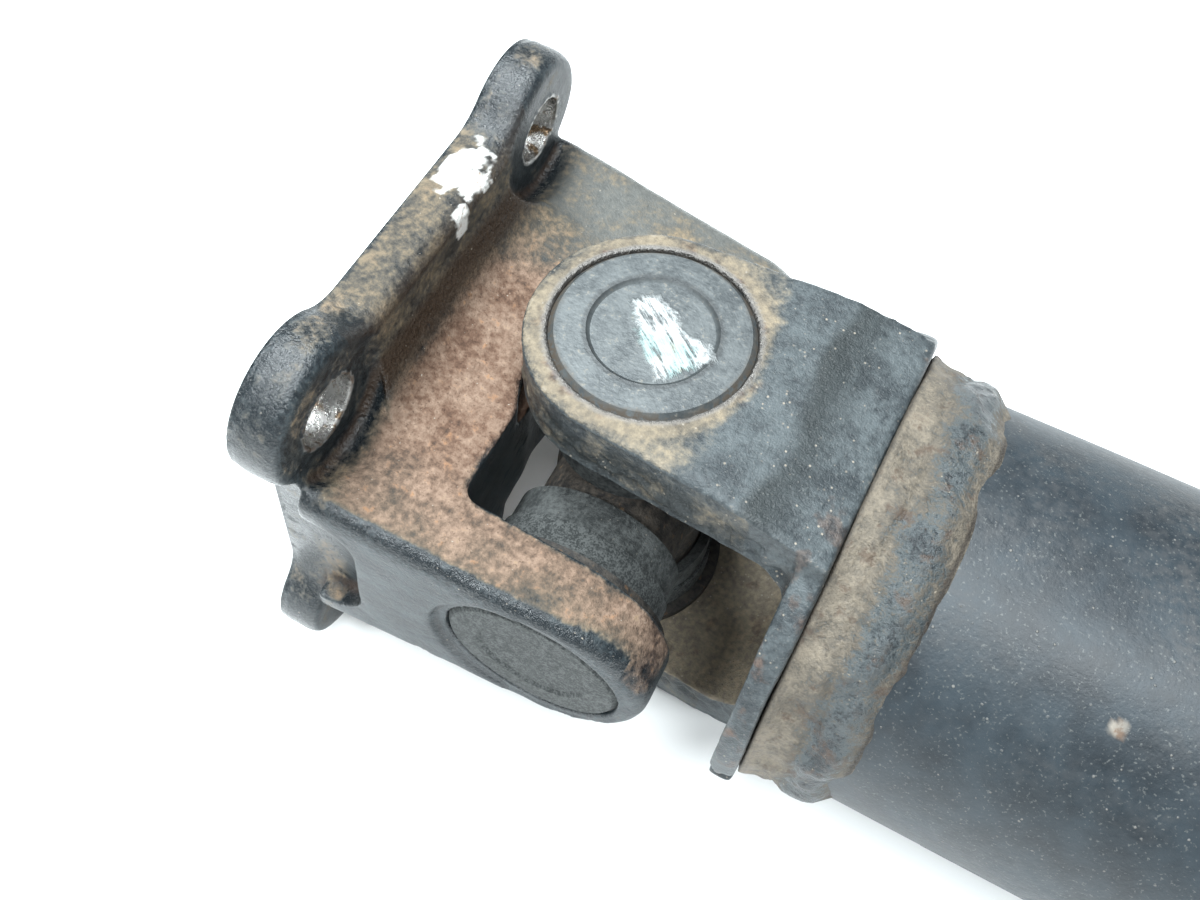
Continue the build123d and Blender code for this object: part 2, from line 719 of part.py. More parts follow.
def flange_yoke(frame):
    """Flange, body and two arms with cup bores, bolt holes, spot-faces and a pilot recess."""
    bolts = GridLocations(BOLT_SPACING, BOLT_SPACING, 2, 2)
    plate = flange_plate(frame)
    with BuildPart() as yoke:
        with BuildSketch(upright(frame, 0)):
            add(arm_side())
        extrude(amount=ARM_OUTER_ROOT + OVERRUN, both=True)
        with BuildSketch(level(frame, 0)):
            add(arm_plan())
        extrude(amount=WAIST_Z + OVERRUN, both=True, mode=Mode.INTERSECT)
        edges = [edge for edge in yoke.edges()
                 if abs(frame.to_local_coords(edge.center()).Y) > ARM_INNER
                 and frame.to_local_coords(edge.center()).X > FLANGE_BACK + SEAT_GAP]
        fillet(edges, ARM_EDGE_R)
        add(plate)
        with BuildSketch(upright(frame, 0)):
            add(gusset_side())
        extrude(amount=GUSSET_HALF_WIDTH, both=True)
        with BuildSketch(level(frame, 0)):
            with Locations(((SLOT_BOTTOM + ARM_TIP_R + OVERRUN) / 2, 0)):
                RectangleRounded(ARM_TIP_R + OVERRUN - SLOT_BOTTOM, 2 * ARM_INNER, SLOT_CORNER_R)
            Circle(SADDLE_R)
        extrude(amount=WAIST_Z + OVERRUN, both=True, mode=Mode.SUBTRACT)
        for side in (1, -1):
            with BuildSketch(level(frame, side * SADDLE_HALF)):
                Circle(RELIEF_R)
            extrude(amount=side * WAIST_Z, mode=Mode.SUBTRACT)
        with BuildSketch(upright(frame, 0)):
            Circle(BORE_R)
        extrude(amount=ARM_OUTER_ROOT + OVERRUN, both=True, mode=Mode.SUBTRACT)
        for side in (1, -1):
            with BuildSketch(trunnion(frame, frame.y_dir * side).offset(SEAT_FACE_Y)):
                Circle(SEAT_FACE_R)
            extrude(amount=OVERRUN, mode=Mode.SUBTRACT)
            pocket = trunnion(frame, frame.y_dir * side).offset(POCKET_FLOOR)
            with BuildSketch(pocket):
                with Locations((POCKET_END - OVERRUN, 0)):
                    RectangleRounded(2 * OVERRUN, 2 * POCKET_HALF, POCKET_CORNER_R)
            extrude(amount=OVERRUN, mode=Mode.SUBTRACT)
        with BuildSketch(across(frame, -FACE_TO_CENTRE)):
            with bolts:
                Circle(BOLT_HOLE_R)
        extrude(amount=FLANGE_THICK + OVERRUN, mode=Mode.SUBTRACT)
        with BuildSketch(across(frame, FLANGE_BACK - SPOT_DEPTH)):
            with bolts:
                Circle(SPOT_R)
        extrude(amount=SPOT_REACH, taper=SPOT_TAPER_DEG, mode=Mode.SUBTRACT)
        with BuildSketch(across(frame, -FACE_TO_CENTRE)):
            Circle(PILOT_R)
        extrude(amount=PILOT_DEPTH, mode=Mode.SUBTRACT)
    return yoke.part


# ---------------------------------------------------------------- build every piece
pieces = {
    "tube_yoke": weld_yoke(shaft_a),
    "tube": pipe(shaft_a),
    "front_weld": front_weld(shaft_a),
    "rear_weld": rear_weld(shaft_a),
    "spline_stub": stub(shaft_a),
    "balance_weight_front": balance_weight(shaft_a, WEIGHT_FRONT_X, WEIGHT_FRONT_DEG),
    "balance_weight_rear": balance_weight(shaft_a, WEIGHT_REAR_X, WEIGHT_REAR_DEG),
    "slip_yoke": slip_fork(shaft_b),
    "dust_cap": dust_cap(shaft_b),
    "slip_seal": slip_seal(shaft_b),
    "end_plug": end_plug(shaft_b),
    "grease_nipple": grease_nipple(shaft_b),
    "cross_a": cross(cross_frame_a),
    "cross_b": cross(shaft_b),
    "flange_yoke_a": flange_yoke(flange_frame_a),
    "flange_yoke_b": flange_yoke(shaft_b),
}
seats = {
    "a_top": trunnion(shaft_a, shaft_a.z_dir),
    "a_bottom": trunnion(shaft_a, -shaft_a.z_dir),
    "a_left": trunnion(flange_frame_a, flange_frame_a.y_dir),
    "a_right": trunnion(flange_frame_a, -flange_frame_a.y_dir),
    "b_top": trunnion(shaft_b, shaft_b.z_dir),
    "b_bottom": trunnion(shaft_b, -shaft_b.z_dir),
    "b_left": trunnion(shaft_b, shaft_b.y_dir),
    "b_right": trunnion(shaft_b, -shaft_b.y_dir),
}
for seat_name, seat in seats.items():
    pieces["cup_" + seat_name] = bearing_cup(seat)
    pieces["seal_" + seat_name] = trunnion_seal(seat)
    pieces["washer_" + seat_name] = thrust_washer(seat)
    pieces["needles_" + seat_name] = needle_set(seat)
    pieces["clip_" + seat_name] = cup_clip(seat)

for name, piece in pieces.items():
    piece.label = name
    export_step(piece, "parts/" + name + ".step")
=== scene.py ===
"""Looks of the universal joint shaft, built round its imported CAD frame. Metres, +Z up."""
import itertools
import json
import math

import bpy
import numpy as np
from mathutils import Matrix, Vector


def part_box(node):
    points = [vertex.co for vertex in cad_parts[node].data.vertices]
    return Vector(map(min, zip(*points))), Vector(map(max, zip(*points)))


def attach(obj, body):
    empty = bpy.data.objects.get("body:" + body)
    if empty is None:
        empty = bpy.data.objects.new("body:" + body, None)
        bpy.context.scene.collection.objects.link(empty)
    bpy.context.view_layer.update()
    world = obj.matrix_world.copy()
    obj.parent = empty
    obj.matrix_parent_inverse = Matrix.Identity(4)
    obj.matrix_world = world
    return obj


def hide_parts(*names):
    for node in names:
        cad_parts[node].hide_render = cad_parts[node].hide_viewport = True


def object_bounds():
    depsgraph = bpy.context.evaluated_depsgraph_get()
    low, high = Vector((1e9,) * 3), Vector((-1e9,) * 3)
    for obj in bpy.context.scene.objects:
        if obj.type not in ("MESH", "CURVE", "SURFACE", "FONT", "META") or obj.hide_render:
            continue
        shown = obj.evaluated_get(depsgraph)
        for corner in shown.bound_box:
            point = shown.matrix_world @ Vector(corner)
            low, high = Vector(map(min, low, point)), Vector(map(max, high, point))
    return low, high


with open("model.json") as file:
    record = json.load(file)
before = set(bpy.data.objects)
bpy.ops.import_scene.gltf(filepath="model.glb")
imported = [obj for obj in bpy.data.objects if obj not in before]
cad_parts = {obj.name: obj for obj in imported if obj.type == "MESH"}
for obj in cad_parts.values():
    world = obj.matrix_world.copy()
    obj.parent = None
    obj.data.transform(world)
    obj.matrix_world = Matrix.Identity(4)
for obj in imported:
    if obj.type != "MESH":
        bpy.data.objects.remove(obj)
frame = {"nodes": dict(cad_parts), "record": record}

NODES = frame["nodes"]
FIRST_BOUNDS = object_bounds()
MM = 0.001
COLLECTION = bpy.context.scene.collection

# Local frames of the two joints, in millimetres, x pointing from the joint into the shaft.
SWING = math.radians(1.9)
TILT = math.radians(7.3)
CENTRE_A, CENTRE_B = Vector((-0.3905, 0, 0)), Vector((-0.0455, 0, 0))
JOINT_A = Matrix.Translation(CENTRE_A)
JOINT_B = Matrix.Translation(CENTRE_B) @ Matrix.Rotation(math.pi, 4, "Z")
SCALE = Matrix.Diagonal((MM, MM, MM, 1))
YOKE_A = JOINT_A @ SCALE
FLANGE_A = JOINT_A @ Matrix.Rotation(SWING, 4, "Z") @ Matrix.Rotation(TILT, 4, "Y") @ SCALE
YOKE_B = JOINT_B @ SCALE


# ---------------------------------------------------------------- noise and mesh helpers

def lattice(cells, seed):
    """A repeatable number from -1 to 1 for each whole-number cell."""
    h = cells[:, 0] * 374761393 + cells[:, 1] * 668265263 + cells[:, 2] * 2147483647 + seed * 1442695041
    h &= 0xFFFFFFFF
    h = ((h ^ (h >> 13)) * 1274126177) & 0xFFFFFFFF
    h = ((h ^ (h >> 16)) * 2246822519) & 0xFFFFFFFF
    return h / 2147483648.0 - 1.0


def waves(p, size, seed, octaves=1):
    """Smooth noise of about -1 to 1 at points p: lumps of the given size, with finer ones over them."""
    total, weight, span = np.zeros(len(p)), 1.0, 0.0
    for octave in range(octaves):
        q = p * (2.0 ** octave / size) + 17.3 * octave
        base = np.floor(q).astype(np.int64)
        t = q - base
        t = t * t * (3 - 2 * t)
        layer = np.zeros(len(p))
        for corner in itertools.product((0, 1), repeat=3):
            share = np.prod(np.where(corner, t, 1 - t), axis=1)
            layer += share * lattice(base + np.array(corner), seed + 31 * octave)
        total += weight * layer
        span += weight
        weight *= 0.55
    return total / span * 1.6


def step(value, low, high):
    """0 below low, 1 above high, smooth between."""
    t = np.clip((value - low) / (high - low), 0, 1)
    return t * t * (3 - 2 * t)


def bell(value, centre, width):
    return np.exp(-(((value - centre) / width) ** 2))


def points_of(mesh):
    co = np.empty(len(mesh.vertices) * 3, np.float32)
    mesh.vertices.foreach_get("co", co)
    return co.reshape(-1, 3).astype(float)


def normals_of(mesh):
    n = np.empty(len(mesh.vertices) * 3, np.float32)
    mesh.vertex_normals.foreach_get("vector", n)
    return n.reshape(-1, 3).astype(float)


def put_points(mesh, p):
    mesh.vertices.foreach_set("co", p.astype(np.float32).ravel())
    mesh.update()


def relax(mesh, p, turns, amount):
    """Points p, each moved towards the mean of its neighbours, turns times, by its own amount."""
    edges = np.empty(len(mesh.edges) * 2, np.int32)
    mesh.edges.foreach_get("vertices", edges)
    a, b = edges[0::2], edges[1::2]
    here, there = np.concatenate((a, b)), np.concatenate((b, a))
    count = np.bincount(here, minlength=len(p))[:, None]
    for _ in range(turns):
        mean = np.stack([np.bincount(here, p[there, k], len(p)) for k in range(3)], 1) / count
        p = p + (mean - p) * amount[:, None]
    return p


def note(mesh, name, values):
    """Keeps one number per point for the material."""
    layer = mesh.attributes.new(name, "FLOAT", "POINT")
    layer.data.foreach_set("value", np.clip(values, 0, 1).astype(np.float32))


def finish_mesh(obj, body, look, slot, *nodes):
    obj.data.polygons.foreach_set("use_smooth", [True] * len(obj.data.polygons))
    obj.data.materials.clear()
    obj.data.materials.append(look)
    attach(obj, body)
    if nodes:
        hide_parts(*nodes)
    return obj


def dense_copy(name, node, place, voxel):
    """A finely and evenly meshed copy of a CAD node, with its points still in its own millimetres."""
    mesh = NODES[node].data.copy()
    mesh.transform(place.inverted())
    obj = bpy.data.objects.new(name, mesh)
    COLLECTION.objects.link(obj)
    weld = obj.modifiers.new("weld", "WELD")
    weld.merge_threshold = 0.001
    grid = obj.modifiers.new("grid", "REMESH")
    grid.mode = "VOXEL"
    grid.voxel_size = voxel
    shown = obj.evaluated_get(bpy.context.evaluated_depsgraph_get())
    made = bpy.data.meshes.new_from_object(shown)
    obj.modifiers.clear()
    obj.data = made
    made.name = name
    return obj


def forge(name, node, place, voxel, cut, seed, extra=None):
    """A forging with rounded edges and a lumpy, pitted skin that goes inward only.

    cut(p) is 1 on the machined faces, which stay true, and extra(p, n) adds to the skin's depth.
    Returns the object, and the points and normals from before the skin.
    """
    obj = dense_copy(name, node, place, voxel)
    mesh = obj.data
    p = points_of(mesh)
    bare = cut(p)
    soft = 1 - bare
    p = relax(mesh, p, 3, 0.25 + 0.25 * soft)
    p = relax(mesh, p, 7, 0.5 * soft)
    put_points(mesh, p)
    n = normals_of(mesh)
    far = relax(mesh, p, 14, np.full(len(p), 0.6))
    bulge = np.einsum("ij,ij->i", p - far, n)
    skin = 0.16 * (waves(p, 17.0, seed, 2) - 1) + 0.07 * (waves(p, 4.2, seed + 5, 3) - 1)
    pits = step(waves(p, 1.7, seed + 9, 2), 0.35, 0.9) * step(waves(p, 9.0, seed + 11, 2), -0.1, 0.6)
    move = skin - 0.16 * pits
    if extra:
        move = move + extra(p, n)
    put_points(mesh, p + n * (np.minimum(move, 0) * soft)[:, None])
    note(mesh, "bare", bare)
    note(mesh, "edge", step(bulge, 0.06, 0.34))
    note(mesh, "nook", step(-bulge, 0.05, 0.32))
    return obj, p, n


def ring(name, profile, around, wobble):
    """A closed ring turned about x from (x, r) points, its radius changed by wobble(points, x, angle)."""
    angles = np.arange(around) * (2 * math.pi / around)
    count = len(profile)
    x = np.repeat(profile[:, 0][None, :], around, 0)
    r = np.repeat(profile[:, 1][None, :], around, 0)
    a = np.repeat(angles[:, None], count, 1)
    p = np.stack((x, r * np.cos(a), r * np.sin(a)), -1).reshape(-1, 3)
    shift = wobble(p, x.ravel(), a.ravel())
    scale = 1 + shift / r.ravel()
    p[:, 1] *= scale
    p[:, 2] *= scale
    i, j = np.meshgrid(np.arange(around), np.arange(count), indexing="ij")
    i2, j2 = (i + 1) % around, (j + 1) % count
    here, ahead = i * count, i2 * count
    faces = np.stack((here + j, here + j2, ahead + j2, ahead + j), -1).reshape(-1, 4)
    mesh = bpy.data.meshes.new(name)
    mesh.from_pydata(p.tolist(), [], faces.tolist())
    mesh.update()
    obj = bpy.data.objects.new(name, mesh)
    COLLECTION.objects.link(obj)
    return obj, p


# ---------------------------------------------------------------- node materials

class Look:
    """Builds one node material."""

    def __init__(self, name):
        self.material = bpy.data.materials.new(name)
        self.material.use_nodes = True
        self.tree = self.material.node_tree
        self.tree.nodes.clear()
        self.place = self.node("ShaderNodeTexCoord").outputs["Object"]

    def node(self, kind, inputs=None, **settings):
        made = self.tree.nodes.new(kind)
        for key, value in settings.items():
            setattr(made, key, value)
        for key, value in (inputs or {}).items():
            socket = made.inputs[key]
            if isinstance(value, bpy.types.NodeSocket):
                self.tree.links.new(value, socket)
            else:
                socket.default_value = value
        return made

    def mask(self, name):
        return self.node("ShaderNodeAttribute", attribute_name=name).outputs["Fac"]

    def noise(self, size, detail=4.0, rough=0.55, warp=0.0, at=None):
        wanted = {"Vector": at or self.place, "Scale": 1 / (size * MM), "Detail": detail,
                  "Roughness": rough, "Distortion": warp}
        return self.node("ShaderNodeTexNoise", wanted).outputs["Fac"]

    def cells(self, size):
        wanted = {"Vector": self.place, "Scale": 1 / (size * MM)}
        return self.node("ShaderNodeTexVoronoi", wanted).outputs["Distance"]

    def sum(self, *pairs):
        """The sum of value times weight; a plain number is added as it is."""
        total = None
        constant = 0.0
        for item in pairs:
            if isinstance(item, (int, float)):
                constant += item
                continue
            value, weight = item
            inputs = {0: value, 1: weight, 2: 0.0 if total is None else total}
            total = self.node("ShaderNodeMath", inputs, operation="MULTIPLY_ADD").outputs[0]
        return self.node("ShaderNodeMath", {0: total, 1: constant}, operation="ADD").outputs[0]

    def dot(self, a, b):
        return self.node("ShaderNodeVectorMath", {0: a, 1: b}, operation="DOT_PRODUCT").outputs["Value"]

    def times(self, a, b):
        return self.node("ShaderNodeMath", {0: a, 1: b}, operation="MULTIPLY", use_clamp=True).outputs[0]

    def band(self, value, low, high):
        """0 at low, 1 at high, smooth between; low may be the larger."""
        inputs = {"Value": value, "From Min": low, "From Max": high, "To Min": 0.0, "To Max": 1.0}
        return self.node("ShaderNodeMapRange", inputs, interpolation_type="SMOOTHSTEP").outputs[0]

    def mix(self, share, a, b):
        inputs = {0: share, 6: tone(a), 7: tone(b)}
        return self.node("ShaderNodeMix", inputs, data_type="RGBA").outputs[2]

    def ramp(self, value, *stops):
        made = self.node("ShaderNodeValToRGB", {"Fac": value})
        spots = made.color_ramp.elements
        while len(spots) < len(stops):
            spots.new(0.5)
        for spot, (place, colour) in zip(spots, stops):
            spot.position = place
            spot.color = (*colour, 1)
        return made.outputs["Color"]

    def finish(self, colour, roughness, height, depth, metallic=0.0, specular=0.5):
        bump = self.node("ShaderNodeBump", {"Height": height, "Distance": depth * MM, "Strength": 1.0})
        shader = self.node("ShaderNodeBsdfPrincipled", {
            "Base Color": colour, "Roughness": roughness, "Metallic": metallic,
            "Specular IOR Level": specular, "Normal": bump.outputs["Normal"]})
        self.node("ShaderNodeOutputMaterial", {"Surface": shader.outputs["BSDF"]})
        return self.material


def tone(value):
    return (*value, 1) if isinstance(value, tuple) else value


RUST_DARK = (0.030, 0.015, 0.010)
RUST_BROWN = (0.118, 0.069, 0.047)
RUST_DUSTY = (0.250, 0.175, 0.130)
OCHRE = (0.330, 0.235, 0.130)
INK = (0.010, 0.014, 0.017)
SLATE = (0.046, 0.058, 0.064)
CHALK = (0.780, 0.770, 0.740)
STEEL = (0.430, 0.420, 0.405)


def rusty_forging():
    """Blue-black paint, glossy on the worn edges, under tan dust, with red-brown rust on open faces."""
    k = Look("rusty_forging")
    big, mid, fine = k.noise(26, 5), k.noise(6.5, 6, 0.6), k.noise(1.1, 5, 0.65)
    grain = k.noise(0.35, 3, 0.6)
    edge, nook, bare, gloss = k.mask("edge"), k.mask("nook"), k.mask("bare"), k.mask("gloss")
    paint = k.mix(k.band(k.sum((fine, 0.6), (mid, 0.4), (gloss, -0.12)), 0.38, 0.62), INK, SLATE)
    worn_grey = k.mix(fine, (0.055, 0.058, 0.056), (0.185, 0.185, 0.170))
    paint = k.mix(k.times(k.mask("grey"), 0.85), paint, worn_grey)
    paint = k.mix(k.times(k.band(grain, 0.60, 0.72), 0.7), paint, (0.125, 0.125, 0.118))
    tan = k.ramp(k.sum((mid, 0.5), (fine, 0.6), -0.05),
                 (0.30, (0.036, 0.034, 0.030)), (0.48, (0.094, 0.080, 0.062)), (0.74, (0.270, 0.212, 0.138)))
    rust = k.ramp(k.sum((mid, 0.45), (big, 0.30), (fine, 0.65), -0.20),
                  (0.24, RUST_DARK), (0.42, RUST_BROWN), (0.62, RUST_DUSTY), (0.80, OCHRE))
    rust = k.mix(k.times(k.band(k.noise(2.2, 5, 0.7), 0.58, 0.70), 0.45), rust, (0.290, 0.135, 0.055))
    rust = k.mix(k.times(k.band(grain, 0.44, 0.30), 0.55), rust, RUST_DARK)
    dust_level = k.sum((k.mask("dust"), 0.70), (big, 0.45), (mid, 0.65), (fine, 0.55), (edge, -0.35))
    rust_level = k.sum((k.mask("rust"), 0.80), (big, 0.40), (mid, 0.55), (fine, 0.50), (edge, -0.30))
    dusty, rusty = k.band(dust_level, 1.02, 1.34), k.band(rust_level, 0.98, 1.32)
    colour = k.mix(dusty, paint, tan)
    colour = k.mix(rusty, colour, rust)
    colour = k.mix(k.times(nook, k.band(fine, 0.25, 0.50)), colour, (0.036, 0.022, 0.015))
    groove = k.mask("groove")
    packed = k.mix(grain, (0.014, 0.009, 0.006), (0.085, 0.055, 0.036))
    colour = k.mix(k.times(groove, k.band(fine, 0.20, 0.42)), colour, packed)
    # Painted highlight: pale flecks on the convex edges stand in for glints of light on the worn paint.
    glint = k.times(edge, k.band(k.sum((fine, 0.8), (mid, 0.5)), 0.74, 0.84))
    colour = k.mix(glint, colour, (0.120, 0.115, 0.105))
    colour = k.mix(k.band(k.noise(0.6, 2), 0.72, 0.78), colour, (0.33, 0.29, 0.24))
    machined = k.mix(k.band(k.noise(2.4, 4), 0.52, 0.64), STEEL, (0.16, 0.11, 0.07))
    colour = k.mix(bare, colour, machined)
    daub = k.mask("daub")
    brush = k.mix(k.band(k.sum((fine, 0.7), (grain, 0.3)), 0.34, 0.46), (0.46, 0.36, 0.30), CHALK)
    colour = k.mix(daub, colour, brush)
    rough = k.sum((dusty, 0.26), (rusty, 0.26), (fine, 0.34), (nook, 0.15), (daub, 0.2), (gloss, -0.22), 0.22)
    scale, crumbs, caked = k.noise(0.9, 4), k.noise(0.6, 3), k.noise(0.9, 3)
    height = k.sum((fine, 0.9), (grain, 0.5), (k.times(rusty, scale), 1.0), (k.times(nook, crumbs), 1.6),
                   (daub, 0.5), (k.times(groove, caked), 3.0))
    shine = k.sum((gloss, 0.45), 0.22)
    return k.finish(colour, rough, height, 0.22, metallic=k.band(bare, 0.3, 0.9), specular=shine)


def painted_forging():
    """Charcoal paint with tan dust and rust breaking through round the edges."""
    k = Look("painted_forging")
    big, mid, fine = k.noise(24, 5), k.noise(6, 6, 0.6), k.noise(1.0, 5, 0.65)
    grain = k.noise(0.32, 3, 0.6)
    edge, nook, dirt, bare = k.mask("edge"), k.mask("nook"), k.mask("dirt"), k.mask("bare")
    shown = k.band(k.sum((mid, 0.6), (fine, 0.5)), 0.40, 0.70)
    paint = k.mix(shown, (0.024, 0.030, 0.034), (0.080, 0.094, 0.099))
    # Painted shade: where the shade mask is high the paint turns darker, on the ears' rear band and lower
    # sides.
    paint = k.mix(k.mask("shade"), paint, k.mix(fine, (0.008, 0.011, 0.012), (0.036, 0.043, 0.044)))
    paint = k.mix(k.times(k.band(grain, 0.60, 0.72), 0.7), paint, (0.135, 0.138, 0.132))
    dust = k.ramp(k.sum((mid, 0.5), (fine, 0.6), -0.05),
                  (0.28, (0.066, 0.056, 0.044)), (0.46, (0.150, 0.126, 0.094)), (0.68, (0.280, 0.230, 0.160)))
    cover = k.band(k.sum((dirt, 0.80), (big, 0.30), (mid, 0.60), (fine, 0.35), (nook, 0.20)), 0.86, 1.16)
    colour = k.mix(cover, paint, dust)
    rust = k.mix(k.band(fine, 0.4, 0.6), RUST_DARK, RUST_BROWN)
    colour = k.mix(k.times(k.band(k.noise(4.5, 4), 0.55, 0.66), k.mask("rust")), colour, rust)
    colour = k.mix(k.times(nook, 0.7), colour, (0.040, 0.026, 0.019))
    # Painted highlight: pale flecks on the convex edges stand in for glints of light on the paint.
    glint = k.times(edge, k.band(k.sum((fine, 0.8), (mid, 0.5)), 0.72, 0.86))
    colour = k.mix(glint, colour, (0.22, 0.20, 0.175))
    specks = k.times(k.band(k.cells(1.1), 0.20, 0.10), k.band(k.noise(4, 2), 0.5, 0.6))
    colour = k.mix(specks, colour, (0.26, 0.23, 0.19))
    colour = k.mix(bare, colour, (0.20, 0.19, 0.18))
    rough = k.sum((cover, 0.26), (fine, 0.30), (edge, -0.08), 0.26)
    height = k.sum((fine, 0.9), (grain, 0.7), (k.times(cover, k.noise(0.8, 4)), 0.9))
    return k.finish(colour, rough, height, 0.22, metallic=k.band(bare, 0.4, 0.9), specular=0.35)


def tube_paint():
    """Semi-gloss black paint with light specks, dust and a few pale chips."""
    k = Look("black_paint")
    big, mid, fine = k.noise(40, 4), k.noise(9, 5), k.noise(1.4, 5, 0.6)
    colour = k.mix(k.band(mid, 0.3, 0.7), (0.009, 0.013, 0.017), (0.023, 0.033, 0.041))
    colour = k.mix(k.times(k.band(big, 0.45, 0.65), k.band(fine, 0.35, 0.7)), colour, (0.046, 0.048, 0.050))
    spots = k.band(k.sum((k.cells(1.5), 1.0), (fine, 0.30)), 0.30, 0.22)
    specks = k.times(spots, k.band(k.noise(2.2, 2), 0.46, 0.62))
    colour = k.mix(k.times(specks, 0.7), colour, (0.20, 0.19, 0.175))
    dots = k.band(k.noise(0.45, 2), 0.60, 0.72)
    colour = k.mix(k.times(dots, 0.8), colour, (0.085, 0.090, 0.088))
    chip = k.mask("chip")
    colour = k.mix(chip, colour, k.mix(k.band(fine, 0.4, 0.6), (0.33, 0.29, 0.24), (0.20, 0.12, 0.07)))
    rough = k.sum((fine, 0.24), (mid, 0.16), (chip, 0.3), (specks, 0.3), 0.27)
    height = k.sum((k.noise(0.55, 3), 0.6), (fine, 0.8), (specks, 1.2), (chip, -1.2))
    return k.finish(colour, rough, height, 0.07, specular=0.45)


def weld_bead():
    """Weld metal under old paint: tan and brown mottling over blue-grey, dark in the undercut."""
    k = Look("weld_metal")
    big, mid, fine = k.noise(15, 5, 0.6, 0.6), k.noise(4.2, 6, 0.6), k.noise(0.9, 5, 0.65)
    grain = k.noise(0.4, 3, 0.7)
    tan = k.sum((k.mask("tan"), 0.26), (big, 0.45), (mid, 0.45), (fine, 0.45), (grain, 0.35), -0.44)
    colour = k.ramp(tan,
                    (0.34, (0.012, 0.016, 0.019)), (0.46, (0.058, 0.070, 0.074)),
                    (0.57, (0.090, 0.078, 0.062)), (0.76, (0.195, 0.164, 0.124)))
    colour = k.mix(k.times(k.band(k.noise(3.4, 5, 0.7), 0.54, 0.66), 0.65), colour, (0.070, 0.042, 0.027))
    colour = k.mix(k.band(k.noise(0.7, 3), 0.66, 0.76), colour, (0.24, 0.205, 0.16))
    colour = k.mix(k.times(k.mask("nook"), 0.85), colour, (0.026, 0.020, 0.016))
    rough = k.sum((fine, 0.35), (k.band(tan, 0.40, 0.58), 0.34), 0.14)
    height = k.sum((fine, 1.2), (grain, 0.8), (mid, 0.6))
    return k.finish(colour, rough, height, 0.30, specular=0.5)


def turned_steel(name, base, glow, metallic=0.75, rough=0.34, grime=0.5):
    """Machined or pressed steel with faint marks, a film of grime and freckles of rust."""
    k = Look(name)
    mid, fine = k.noise(5, 5), k.noise(0.9, 5, 0.6)
    colour = k.mix(k.band(k.sum((mid, 0.6), (fine, 0.4)), 0.38, 0.62), base, glow)
    film = k.band(k.sum((mid, 0.7), (k.noise(14, 3), 0.5)), 0.60 + 0.25 * (1 - grime), 0.95)
    colour = k.mix(film, colour, (0.10, 0.075, 0.052))
    colour = k.mix(k.band(k.noise(0.7, 3), 0.69, 0.76), colour, (0.24, 0.19, 0.14))
    height = k.sum((fine, 0.7), (k.noise(0.25, 2), 0.5))
    return k.finish(colour, k.sum((fine, 0.22), (film, 0.3), rough - 0.1), height, 0.05, metallic=metallic)


TO_MM = 1000.0
CAP_FROM, CAP_TO = 0.0358, 0.0368
TURNING_MARKS = 9000.0


